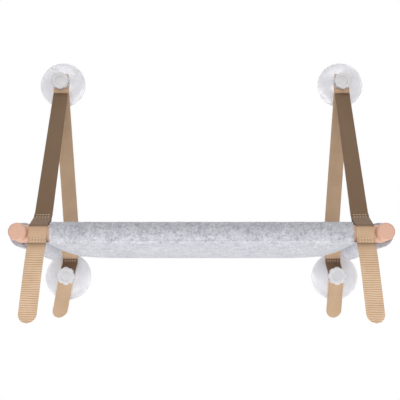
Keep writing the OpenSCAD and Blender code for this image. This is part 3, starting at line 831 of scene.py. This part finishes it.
def plated_steel(finishes):
    """Zinc plated steel: cool, bright, slightly cloudy metal."""
    return cloudy_metal("zinc_plated_steel", finishes.zinc, 0.8, 1.6 * MM, 0.24, 0.42)


def turned_brass(finishes):
    """Turned brass: yellow metal, dulled in patches."""
    return cloudy_metal("turned_brass", finishes.brass, 0.7, 1.2 * MM, 0.28, 0.5)


def soft_pvc(finishes):
    """Soft clear PVC, moulded: milky and glossy, it lets light through and looks denser where thick."""
    material, tree = new_material("soft_clear_pvc")
    haze = speckle(tree, 14 * MM, detail=2)
    tone = shaded(tree, ranged(tree, haze, 0.3, 0.7, 0, 0.5), finishes.cup, 0.86)
    roughness = ranged(tree, haze, 0.3, 0.7, 0.16, 0.26)
    constants = {"IOR": 1.53, "Transmission Weight": 0.55, "Coat Weight": 0.2, "Coat Roughness": 0.1}
    surface(tree, tone, roughness, haze, 0.2 * MM, constants)
    return material


def moulded_nylon(finishes):
    """Moulded white nylon: waxy and slightly soft to the eye, with a fine spark-eroded texture."""
    material, tree = new_material("moulded_nylon")
    clouds = speckle(tree, 7 * MM, detail=3)
    grain = speckle(tree, 0.7 * MM, detail=2)
    tone = shaded(tree, ranged(tree, clouds, 0.35, 0.65), finishes.knob, 0.93)
    constants = {
        "IOR": 1.53, "Subsurface Weight": 0.1, "Subsurface Scale": 2 * MM,
        "Subsurface Radius": (1.0, 0.9, 0.8),
    }
    surface(tree, tone, ranged(tree, grain, 0.3, 0.7, 0.34, 0.5), grain, 0.04 * MM, constants)
    return material


def strands(tree, width, stretch, thinness, distortion):
    """1 on thin winding lines about this far apart and 0 between them, as matted fibres lie."""
    field = speckle(tree, width, stretch, detail=2, rough=0.55, distortion=distortion)
    return ranged(tree, maths(tree, "ABSOLUTE", maths(tree, "SUBTRACT", field, 0.5)), 0, thinness, 1, 0)


def needled_felt(felt):
    """Needled wool felt: matt and mottled, a mass of pale and dark fibres with a soft nap."""
    material, tree = new_material("needled_wool_felt")
    # Single fibres are too fine to show, so these tufts and strands are drawn about 2 mm wide
    blotches = speckle(tree, 15 * MM, detail=2, rough=0.5, distortion=0.6)
    tufts = speckle(tree, 4.2 * MM, detail=3, rough=0.55, distortion=0.8)
    pale_strands = strands(tree, 11 * MM, (0.9, 1.3, 1.0), 0.045, 1.8)
    dark_strands = strands(tree, 12 * MM, (1.3, 0.9, 0.9), 0.04, 2.0)
    cloudy = ranged(tree, blotches, 0.4, 0.62, 0, 0.3)
    tufted = ranged(tree, tufts, 0.5, 0.6, 0, 0.5)
    base = mixed(tree, maths(tree, "ADD", cloudy, tufted), rgba(felt.colour), rgba(felt.dark_colour))
    tone = overlaid(tree, base, dark_strands, 0.45, felt.dark_colour)
    tone = overlaid(tree, tone, pale_strands, 0.5, felt.pale_colour)
    # Painted shade darkens the inner rims at the ends of the sleeves and tubes, in the gap round the dowels
    mouth_shade = add_node(tree, "ShaderNodeAttribute", attribute_name="mouth_shade").outputs["Fac"]
    tone = mixed(tree, ranged(tree, mouth_shade, 0.3, 0.8, 0, 0.85), tone, rgba([c / 3 for c in felt.dark_colour]))
    nap = maths(tree, "ADD", tufts, maths(tree, "MULTIPLY", pale_strands, 0.25))
    constants = {"Sheen Weight": 0.2, "Sheen Roughness": 0.6, "Specular IOR Level": 0.2}
    surface(tree, tone, ranged(tree, tufts, 0.3, 0.7, 0.86, 0.98), nap, 0.6 * MM, constants)
    return material


def woven_nylon(webbing):
    """Ribbed nylon webbing: matt ribs of bundled yarn, with painted shade in the valleys between ribs and
    between yarns, and heat-sealed ends.

    Where its ribs lie flat it is smoother and painted shade makes it a little darker. Painted shade also
    darkens the front straps' inclined spans, the rear tabs and the dents at the sewn rows.
    """
    material, tree = new_material("ribbed_nylon_webbing")
    weave_map = add_node(tree, "ShaderNodeUVMap", uv_map="weave").outputs[0]
    parts = add_node(tree, "ShaderNodeSeparateXYZ", {0: weave_map}).outputs
    phase = maths(tree, "MULTIPLY", parts[1], math.pi / webbing.rib_pitch)
    ridge = maths(tree, "ABSOLUTE", maths(tree, "SINE", phase))
    # Yarns cross each rib at a slant
    slant = maths(tree, "ADD", parts[0], maths(tree, "MULTIPLY", parts[1], 0.5))
    bundle = ranged(tree, maths(tree, "SINE", maths(tree, "MULTIPLY", slant, math.tau / YARN_WIDTH)), -1, 1)
    fibres = speckle(tree, 1.4 * MM, detail=4, rough=0.6)
    clouds = speckle(tree, 26 * MM, detail=2)
    opened, dark, dent_and_shade, ends = [
        add_node(tree, "ShaderNodeAttribute", attribute_name=layer).outputs["Fac"]
        for layer in ("open", "dark", "dent_and_shade", "sealed")
    ]
    # Painted shade in the valleys between the ribs and in the gaps between yarn bundles; the fibres and
    # clouds add the nylon's own uneven tone
    valley = maths(tree, "MULTIPLY", ranged(tree, ridge, 0.1, 0.7, 1, 0), opened)
    darker = maths(tree, "ADD", valley, ranged(tree, bundle, 0, 0.6, 0.18, 0))
    for share in (
        ranged(tree, fibres, 0.35, 0.7, 0, 0.25),
        ranged(tree, clouds, 0.35, 0.65, -0.08, 0.12),
        # Painted shade in the dents at the sewn rows
        maths(tree, "MULTIPLY", dent_and_shade, 0.5),
    ):
        darker = maths(tree, "ADD", darker, share)
    tone = mixed(tree, darker, rgba(webbing.colour), rgba(webbing.valley_shade_colour))
    # Painted shade over the stretches where the ribs lie flat
    flat = maths(tree, "SUBTRACT", 1.0, opened)
    tone = overlaid(tree, tone, flat, FLAT_PAINTED_SHADE_SHARE, webbing.valley_shade_colour)
    # Painted shade on the front straps' inclined spans and the rear tabs
    tone = overlaid(tree, tone, dark, PAINTED_SHADE_SHARE, webbing.dark_colour)
    tone = overlaid(tree, tone, ends, 0.7, webbing.end_colour)
    roughness = ranged(tree, ends, 0, 1, 0.78, 0.42)
    weave = maths(tree, "ADD", maths(tree, "MULTIPLY", bundle, 0.6), fibres)
    constants = {"Sheen Weight": 0.1, "Sheen Roughness": 0.4, "Specular IOR Level": 0.35}
    surface(tree, tone, roughness, weave, 0.16 * MM, constants)
    return material


def spun_thread(name, tint):
    """Bonded polyester thread: paler than the cloth and slightly glossy, with a tight twist."""
    material, tree = new_material(name)
    twist = speckle(tree, 0.8 * MM, detail=3)
    tone = shaded(tree, ranged(tree, twist, 0.4, 0.7, 0, 0.6), tint, 0.72)
    surface(tree, tone, ranged(tree, twist, 0.3, 0.7, 0.42, 0.6), twist, 0.1 * MM, {"IOR": 1.5})
    return material


def dress(material, *nodes):
    """Gives nodes of the frame a material."""
    for name in nodes:
        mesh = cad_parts[name].data
        mesh.materials.clear()
        mesh.materials.append(material)


# Operators


class PERCH_OT_dowels(Operator):
    """Finishes the beech dowels and the bolts and inserts that join them"""

    bl_idname = "perch.dowels"
    bl_label = "Dowels and bolts"

    def execute(self, context):
        finishes = context.scene.perch_finishes
        dress(sanded_beech(finishes, "Y"), "rail_left", "rail_right")
        dress(sanded_beech(finishes, "X"), "front_bar", "rear_bar")
        dress(plated_steel(finishes), "frame_bolts")
        dress(turned_brass(finishes), "bar_inserts")
        return {"FINISHED"}


class PERCH_OT_cups(Operator):
    """Finishes the suction cups, their studs and the clamping knobs"""

    bl_idname = "perch.cups"
    bl_label = "Cups, studs and knobs"

    def execute(self, context):
        finishes = context.scene.perch_finishes
        places = [f"{level}_{side}" for level in LEVELS for side in SIDES]
        dress(soft_pvc(finishes), *[f"cup_{place}" for place in places])
        nylon = moulded_nylon(finishes)
        dress(nylon, *[f"stud_{place}" for place in places], *[f"knob_{place}" for place in places])
        return {"FINISHED"}


class PERCH_OT_sling(Operator):
    """Makes the felt sling with its sleeves, side tubes and seams"""

    bl_idname = "perch.sling"
    bl_label = "Felt sling"

    def execute(self, context):
        felt = context.scene.perch_felt
        parts = [felt_panel(felt)]
        for bar in (FRONT_BAR, REAR_BAR):
            centre = Vector((0, bar.y, bar.z))
            parts.append(felt_tube(felt, "X", centre, 2 * SLEEVE_END, BAR_RADIUS + SLEEVE_GAP))
        front = FRONT_BAR.y + TUBE_FRONT_INSET
        rear = REAR_BAR.y - TUBE_REAR_INSET
        for side in SIDES.values():
            centre = Vector((side * RAIL.x, (front + rear) / 2, RAIL.z - TUBE_SAG))
            tube = felt_tube(felt, "Y", centre, rear - front, RAIL_RADIUS + TUBE_SLACK)
            slant_ends(tube, side, felt)
            hang_lower(tube, felt)
            parts.append(tube)
        bm = joined(parts)
        rumple(bm, felt)
        sling = finished("wool_felt_sling", bm, needled_felt(felt))
        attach(sling, "bed")
        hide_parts("felt_sling")
        seams = self.seams(felt)
        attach(seams, "bed")
        width, depth, area = self.cut_size(felt)
        return {"FINISHED"}

    def cut_size(self, felt):
        """Width, depth and area of the felt before it was sewn, measured along its middle."""
        wrap = math.tau * (BAR_RADIUS + SLEEVE_GAP + felt.thickness / 2)
        side_wrap = math.tau * (RAIL_RADIUS + TUBE_SLACK + felt.thickness / 2)
        widest = sling_reach(0, felt)[1]
        tube_length = 2 * HALF_SPACING - TUBE_FRONT_INSET - TUBE_REAR_INSET
        tube_length -= (TUBE_FRONT_SLANT + TUBE_REAR_SLANT) / 2
        panel = 4 * widest * HALF_SPACING - 4 * (widest - SLEEVE_END) * (CORNER_START + CORNER_RUN / 2)
        area = panel + 4 * SLEEVE_END * (wrap + SEAM_REACH) + 2 * tube_length * side_wrap
        return 2 * (widest + side_wrap), 2 * (HALF_SPACING + wrap + SEAM_REACH), area

    def seams(self, felt):
        """Thread along the sleeves, under the sling, and along the side tubes, above and below it."""
        stitches = []
        half_depth = sling_half_depth(felt)
        v = 1 - SEAM_INSET / half_depth
        below = Vector((0, 0, SEAM_SINK - felt.thread / 4))
        count = round(2 * (SLEEVE_END - SEAM_INSET) / felt.stitch_pitch)
        reach_share = 1 - SEAM_INSET / SLEEVE_END
        shares = [reach_share * (2 * i / count - 1) for i in range(count + 1)]
        for end in (-v, v):
            line = [sling_point(share, end, felt) + below for share in shares]
            stitches += stitched([(p, Vector((0, 0, -1))) for p in line], FELT_STITCH_SHARE)
        above = Vector((0, 0, felt.thickness - SEAM_SINK + felt.thread / 4))
        widest = sling_reach(0, felt)[1]
        u = 1 - SIDE_SEAM_INSET / widest
        count = round(2 * half_depth * SIDE_SEAM_SHARE / felt.stitch_pitch)
        shares = [SIDE_SEAM_SHARE * (2 * i / count - 1) for i in range(count + 1)]
        for side in SIDES.values():
            line = [sling_point(side * u, share, felt) for share in shares]
            stitches += stitched([(p + below, Vector((0, 0, -1))) for p in line], FELT_STITCH_SHARE)
            stitches += stitched([(p + above, Vector((0, 0, 1))) for p in line], FELT_STITCH_SHARE)
        thread = spun_thread("felt_thread", felt.thread_colour)
        return thread_piece("sling_seams", stitches, felt.thread, thread)


def sewn_rows(route, webbing):
    """Distances along a loop at which it is sewn: two on its upper tab, then two on its lower one."""
    upper = [share * webbing.tab_length for share in UPPER_ROW_SHARES]
    return upper + [route.length - share * webbing.tab_length for share in LOWER_ROW_SHARES]


def loop_stitches(route, webbing):
    """The stitches of both sewn tabs of a loop, as they show on its face and behind the strap."""
    stitches = []
    face = webbing.thickness / 2 - PRESS_DEPTH / 2
    behind = -webbing.thickness * 3 / 2 - LAYER_GAP
    for lift in (face, behind):
        for travel in sewn_rows(route, webbing):
            stitches += stitched(across_row(route, travel, lift, webbing), STITCH_SHARE)
    return stitches


def sewn_loop(end, name, route, painted_shade_span, webbing, nylon, thread):
    """The loop piece of a strap and its seams: end is front or rear, name is left or right."""
    rows = sewn_rows(route, webbing)
    band = woven_band(f"webbing_{end}_loop_{name}", route, webbing, nylon, painted_shade_span=painted_shade_span, rows=rows)
    stitches = loop_stitches(route, webbing)
    return band, thread_piece(f"{end}_loop_seams_{name}", stitches, webbing.thread, thread)


class PERCH_OT_front_straps(Operator):
    """Makes the front straps, from the upper studs to the front bar, with their loops and tails"""

    bl_idname = "perch.front_straps"
    bl_label = "Front straps"

    def execute(self, context):
        webbing = context.scene.perch_webbing
        nylon = woven_nylon(webbing)
        thread = spun_thread("front_thread", webbing.thread_colour)
        corner, main, _ = front_plies(webbing)
        turned = FRONT_BAR + BAR_RADIUS * heading(LOOP_PAINTED_SHADE_ANGLE)
        for name, side in SIDES.items():
            strap_route, loop_route = front_routes(webbing, side)
            tab_end = strap_route.travel_of(main[-1])
            # Painted shade from the strap's corner down past its loop's tab, and on the loop's upper part
            strap = woven_band(
                f"webbing_front_strap_{name}", strap_route, webbing, nylon,
                painted_shade_span=(strap_route.travel_of(corner), tab_end + PAINTED_SHADE_FADE / 2, PAINTED_SHADE_FADE),
                open_from=tab_end, round_foot=True,
            )
            stud = Vector((side * UPPER_STUD.x, corner.y, UPPER_STUD.z))
            cut_round(strap, stud, STUD_HOLE_RADIUS, webbing.width)
            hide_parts(f"front_strap_{name}")
            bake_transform(strap)
            painted_shade_span = (-STRAP_END_LENGTH, loop_route.travel_of(turned))
            band, seams = sewn_loop("front", name, loop_route, painted_shade_span, webbing, nylon, thread)
            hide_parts(f"front_loop_{name}")
            for piece in (band, seams):
                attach(piece, "bed")
        return {"FINISHED"}


class PERCH_OT_rear_straps(Operator):
    """Makes the rear straps, from the upper studs past the rear bar to the lower studs"""

    bl_idname = "perch.rear_straps"
    bl_label = "Rear straps"

    def execute(self, context):
        webbing = context.scene.perch_webbing
        nylon = woven_nylon(webbing)
        thread = spun_thread("rear_thread", webbing.thread_colour)
        level = strap_levels(webbing)[0]
        rear_foot = REAR_BAR + (BAR_RADIUS + REAR_TAIL_REACH) * heading(REAR_SEAM_ANGLE)
        for name, side in SIDES.items():
            strap_route, loop_route = rear_routes(webbing, side)
            knob_top = strap_route.travel_of(LOWER_STUD) - KNOB_RADIUS
            # Painted shade from below the rear bar down to the lower knob, and on the loop's tab, under the
            # bed
            strap = woven_band(
                f"webbing_rear_strap_{name}", strap_route, webbing, nylon,
                painted_shade_span=(strap_route.travel_of(rear_foot), knob_top + PAINTED_SHADE_FADE, PAINTED_SHADE_FADE),
                round_foot=True,
            )
            for stud in (UPPER_STUD, LOWER_STUD):
                cut_round(strap, Vector((side * stud.x, level, stud.z)), STUD_HOLE_RADIUS, webbing.width)
            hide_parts(f"rear_strap_{name}")
            painted_shade_span = (loop_route.travel_of(rear_foot), loop_route.length + STRAP_END_LENGTH)
            band, seams = sewn_loop("rear", name, loop_route, painted_shade_span, webbing, nylon, thread)
            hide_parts(f"rear_loop_{name}")
            for piece in (strap, band, seams):
                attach(piece, "root")
        return {"FINISHED"}


def softbox(name, centre, azimuth, rise, distance, width, height, watts):
    """A soft lamp that the camera doesn't see. Azimuth 0 is straight in front and 90 at the right."""
    light = bpy.data.lights.new(name, "AREA")
    light.shape = "RECTANGLE"
    light.size = width
    light.size_y = height
    light.energy = watts
    lamp = bpy.data.objects.new(name, light)
    level = distance * math.cos(math.radians(rise))
    turn = math.radians(azimuth)
    way = Vector((level * math.sin(turn), -level * math.cos(turn), distance * math.sin(math.radians(rise))))
    lamp.location = centre + way
    lamp.rotation_euler = way.to_track_quat("Z", "Y").to_euler()
    lamp.visible_camera = False
    bpy.context.scene.collection.objects.link(lamp)


def seen_rays(tree):
    """1 for rays from the camera, from gloss and through clear plastic, and 0 for rays that carry light."""
    rays = add_node(tree, "ShaderNodeLightPath").outputs
    seen = maths(tree, "MAXIMUM", rays["Is Camera Ray"], rays["Is Glossy Ray"])
    return maths(tree, "MAXIMUM", seen, rays["Is Transmission Ray"])


class PERCH_OT_stage(Operator):
    """Makes the pale floor, the soft studio light and the camera"""

    bl_idname = "perch.stage"
    bl_label = "Floor, light and camera"

    def execute(self, context):
        stage = context.scene.perch_stage
        self.floor(stage)
        self.light(stage)
        self.camera(context, stage)
        return {"FINISHED"}

    def floor(self, stage):
        """A pale floor: painted matt white, seen a little brighter than it is lit."""
        material, tree = new_material("matt_white_floor")
        mottle = ranged(tree, speckle(tree, 60 * MM, detail=3), 0.3, 0.7)
        tone = mixed(tree, mottle, *[rgba(linear(hex_colour)) for hex_colour in FLOOR_TONES])
        paint = add_node(tree, "ShaderNodeBsdfDiffuse", {"Color": tone, "Roughness": 0.6})
        glow = add_node(tree, "ShaderNodeEmission", {"Color": (1, 1, 1, 1), "Strength": 1.0})
        factor = maths(tree, "MULTIPLY", seen_rays(tree), FLOOR_GLOW_SHARE)
        mix = add_node(tree, "ShaderNodeMixShader", {0: factor, 1: paint.outputs[0], 2: glow.outputs[0]})
        add_node(tree, "ShaderNodeOutputMaterial", {"Surface": mix.outputs[0]})
        bm = bmesh.new()
        place = Matrix.Translation((0, FRONT_BAR.y / 2, -stage.floor_drop))
        bmesh.ops.create_grid(bm, x_segments=8, y_segments=8, size=FLOOR_HALF_WIDTH, matrix=place)
        floor = finished("floor", bm, material)

    def light(self, stage):
        """Soft light from in front and off the floor, less from above and behind, a little all round."""
        centre = Vector((0, (FRONT_BAR.y + REAR_BAR.y) / 2, UPPER_STUD.z / 4))
        # Azimuth and rise are in degrees, then distance, width and height in metres
        softbox("front_lamp", centre, 0, 3, 2.2, 2.0, 1.2, stage.front_lamp)
        softbox("low_front_lamp", centre, 0, -27, 1.15, 1.2, 0.4, stage.low_lamp)
        for name, side in SIDES.items():
            softbox(f"low_{name}_lamp", centre, side * 48, -24, 1.3, 0.9, 0.5, stage.side_lamps)
        floor_gap = centre.z + stage.floor_drop - FLOOR_LAMP_LIFT
        softbox("floor_lamp", centre, 0, -90, floor_gap, 1.4, 1.2, stage.floor_lamp)
        softbox("high_back_lamp", centre, 180, 47, 1.5, 1.2, 0.9, stage.back_lamp)
        softbox("top_lamp", centre, 0, 80, 1.3, 1.2, 0.8, stage.top_lamp)
        world = bpy.data.worlds.new("studio")
        world.use_nodes = True
        tree = world.node_tree
        tree.nodes.clear()
        fill = add_node(tree, "ShaderNodeBackground", {"Color": (1, 1, 1, 1), "Strength": stage.room_light})
        white = add_node(tree, "ShaderNodeBackground", {"Color": (1, 1, 1, 1), "Strength": 1.0})
        mix = add_node(
            tree, "ShaderNodeMixShader", {0: seen_rays(tree), 1: fill.outputs[0], 2: white.outputs[0]}
        )
        add_node(tree, "ShaderNodeOutputWorld", {"Surface": mix.outputs[0]})
        bpy.context.scene.world = world

    def camera(self, context, stage):
        """The camera stands in front of the perch, a little below it, and looks up."""
        data = bpy.data.cameras.new("camera")
        data.lens = stage.lens
        data.sensor_width = SENSOR_WIDTH
        data.shift_x = stage.camera_shift
        camera = bpy.data.objects.new("camera", data)
        camera.location = (0, -stage.camera_distance, -stage.camera_drop)
        camera.rotation_euler = (math.pi / 2 + stage.camera_pitch, 0, 0)
        context.scene.collection.objects.link(camera)
        context.scene.camera = camera
        context.scene.view_settings.view_transform = "Standard"


class PERCH_PT_panel(Panel):
    """Lists the steps that dress the perch, with their sizes and colours"""

    bl_idname = "PERCH_PT_panel"
    bl_label = "Window perch"
    bl_space_type = "VIEW_3D"
    bl_region_type = "UI"
    bl_category = "Perch"

    def draw(self, context):
        for step in STEPS:
            self.layout.operator(step.bl_idname)
        for group in GROUPS:
            values = getattr(context.scene, GROUPS[group])
            self.layout.label(text=GROUPS[group].replace("_", " ").capitalize())
            for name in group.__annotations__:
                self.layout.prop(values, name)


STEPS = (
    PERCH_OT_dowels,
    PERCH_OT_cups,
    PERCH_OT_sling,
    PERCH_OT_front_straps,
    PERCH_OT_rear_straps,
    PERCH_OT_stage,
)
GROUPS = {
    PerchWebbing: "perch_webbing",
    PerchFelt: "perch_felt",
    PerchFinishes: "perch_finishes",
    PerchStage: "perch_stage",
}


def register():
    """Adds the settings, the operators and the panel."""
    for part in (*GROUPS, *STEPS, PERCH_PT_panel):
        bpy.utils.register_class(part)
    for group, name in GROUPS.items():
        setattr(bpy.types.Scene, name, PointerProperty(type=group))


def unregister():
    """Takes away what register adds."""
    for name in GROUPS.values():
        delattr(bpy.types.Scene, name)
    for part in reversed((*GROUPS, *STEPS, PERCH_PT_panel)):
        bpy.utils.unregister_class(part)


def main():
    """Dresses the perch."""
    register()
    bpy.ops.perch.dowels()
    bpy.ops.perch.cups()
    bpy.ops.perch.sling()
    bpy.ops.perch.front_straps()
    bpy.ops.perch.rear_straps()
    bpy.ops.perch.stage()
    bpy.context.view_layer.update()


if __name__ == "__main__":
    main()
